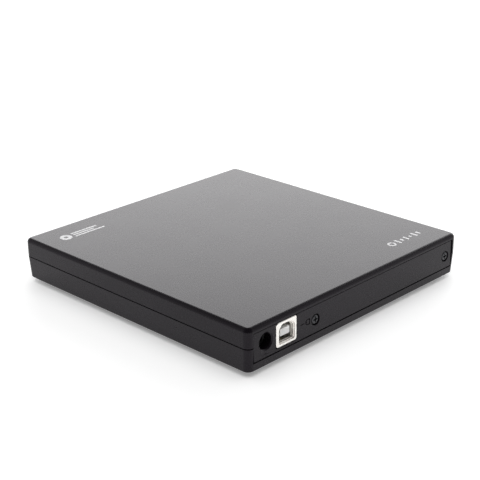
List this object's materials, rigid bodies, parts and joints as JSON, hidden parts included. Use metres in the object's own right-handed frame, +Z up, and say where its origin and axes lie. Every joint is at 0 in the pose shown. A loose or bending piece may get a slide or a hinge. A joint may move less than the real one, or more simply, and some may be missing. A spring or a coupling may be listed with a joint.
{
  "type": "external optical drive",
  "caption": "Flat square external disc drive with a sliding tray at the front and USB and DC inlets at the back, in a two-part black casing.",
  "frame": {"origin": "middle of the casing's footprint, on the surface that the feet stand on", "axes": "+X to the right seen from the front, -Y out of the front where the tray opens, +Y out of the back with the sockets, +Z up"},
  "size_m": [0.139, 0.143, 0.0216],
  "materials": {
    "casing": "satin black moulded plastic",
    "rubber_foot": "matt black rubber",
    "screw_steel": "blackened steel screw",
    "bright_metal": "tin-plated bright metal",
    "white_plastic": "white moulded plastic",
    "gold_contact": "gold-plated contact",
    "black_plastic": "black moulded plastic",
    "circuit_board": "green solder mask on a circuit board",
    "chip_black": "black chip package",
    "plated_steel": "zinc-plated sheet steel",
    "steel": "plain steel",
    "tray_plastic": "fine-grained dark plastic",
    "turntable_plastic": "dark plastic hub with a soft disc seat",
    "cast_metal": "die-cast metal",
    "lens_glass": "small coated lens",
    "light_window": "green translucent light window",
    "flex_cable": "amber flat flexible cable"
  },
  "bodies": {
    "root": {"top_shell": "casing", "bottom_shell": "casing", "rear_panel": "casing", "rear_screw_left": "screw_steel", "rear_screw_right": "screw_steel", "foot_1": "rubber_foot", "foot_2": "rubber_foot", "foot_3": "rubber_foot", "foot_4": "rubber_foot", "usb_socket_shell": "bright_metal", "usb_socket_tongue": "white_plastic", "usb_contact_1": "gold_contact", "usb_contact_2": "gold_contact", "usb_contact_3": "gold_contact", "usb_contact_4": "gold_contact", "dc_jack_body": "black_plastic", "dc_jack_pin": "bright_metal", "bridge_board": "circuit_board", "bridge_chip": "chip_black", "bridge_crystal": "bright_metal", "bridge_capacitor": "bright_metal", "drive_connector": "black_plastic", "drive_chassis": "plated_steel", "drive_cover": "plated_steel", "left_guide": "white_plastic", "right_guide": "white_plastic", "main_board": "circuit_board", "main_chip": "chip_black", "latch_pin": "steel", "ejector_housing": "black_plastic", "flex_cable": "flex_cable"},
    "tray": {"tray": "tray_plastic", "tray_bezel": "casing", "activity_light": "light_window", "mechanism_frame": "plated_steel", "mechanism_shield": "plated_steel", "mechanism_cover": "black_plastic", "guide_rod_far": "steel", "guide_rod_near": "steel", "motor_base": "steel", "sled_motor": "steel", "latch_solenoid": "steel"},
    "left_rail": {"left_rail": "steel"},
    "right_rail": {"right_rail": "steel"},
    "eject_button": {"eject_button": "casing"},
    "spindle": {"motor_rotor": "steel", "turntable": "turntable_plastic"},
    "hub_claw_1": {"hub_claw_1": "turntable_plastic"},
    "hub_claw_2": {"hub_claw_2": "turntable_plastic"},
    "hub_claw_3": {"hub_claw_3": "turntable_plastic"},
    "sled": {"pickup_carriage": "cast_metal"},
    "lens_unit": {"lens_holder": "black_plastic", "lens": "lens_glass"},
    "lead_screw": {"lead_screw": "steel"},
    "latch": {"latch_lever": "white_plastic"},
    "ejector": {"ejector_plunger": "white_plastic"}
  },
  "joints": [
    {"name": "tray_slide", "type": "slide", "parent": "root", "child": "tray", "axis": [0, -1, 0], "range_m": [0, 0.128], "deforming": ["flex_cable"]},
    {"name": "left_rail_slide", "type": "slide", "parent": "root", "child": "left_rail", "axis": [0, -1, 0], "range_m": [0, 0.0641]},
    {"name": "right_rail_slide", "type": "slide", "parent": "root", "child": "right_rail", "axis": [0, -1, 0], "range_m": [0, 0.0641]},
    {"name": "eject_button_press", "type": "slide", "parent": "tray", "child": "eject_button", "axis": [0, 1, 0], "range_m": [0, 0.0008], "stiffness_N_per_m": 300},
    {"name": "spindle_spin", "type": "hinge", "parent": "tray", "child": "spindle", "pos_m": [0, -0.0055, 0.012], "axis": [0, 0, 1], "continuous": true},
    {"name": "sled_slide", "type": "slide", "parent": "tray", "child": "sled", "axis": [-0.7071, -0.7071, 0], "range_m": [0, 0.034]},
    {"name": "lead_screw_turn", "type": "hinge", "parent": "tray", "child": "lead_screw", "pos_m": [-0.03288, -0.01505, 0.0096], "axis": [-0.7071, -0.7071, 0], "range_deg": [0, 4090]},
    {"name": "lens_focus", "type": "slide", "parent": "sled", "child": "lens_unit", "axis": [0, 0, 1], "range_m": [-0.0004, 0.0004], "stiffness_N_per_m": 120},
    {"name": "latch_swing", "type": "hinge", "parent": "tray", "child": "latch", "pos_m": [0.041, -0.0475, 0.0086], "axis": [0, 0, -1], "range_deg": [0, 12], "stiffness_Nm_per_rad": 0.004},
    {"name": "ejector_push", "type": "slide", "parent": "root", "child": "ejector", "axis": [0, 1, 0], "range_m": [0, 0.005], "stiffness_N_per_m": 60},
    {"name": "hub_claw_1_press", "type": "slide", "parent": "spindle", "child": "hub_claw_1", "axis": [-0.7071, -0.7071, 0], "range_m": [-0.0006, 0], "stiffness_N_per_m": 150},
    {"name": "hub_claw_2_press", "type": "slide", "parent": "spindle", "child": "hub_claw_2", "axis": [0.9659, -0.2588, 0], "range_m": [-0.0006, 0], "stiffness_N_per_m": 150},
    {"name": "hub_claw_3_press", "type": "slide", "parent": "spindle", "child": "hub_claw_3", "axis": [-0.2588, 0.9659, 0], "range_m": [-0.0006, 0], "stiffness_N_per_m": 150}
  ],
  "couplings": [
    {"joint": "left_rail_slide", "follows": "tray_slide", "ratio": 0.5},
    {"joint": "right_rail_slide", "follows": "tray_slide", "ratio": 0.5},
    {"joint": "lead_screw_turn", "follows": "sled_slide", "rad_per_m": 2094.4}
  ]
}
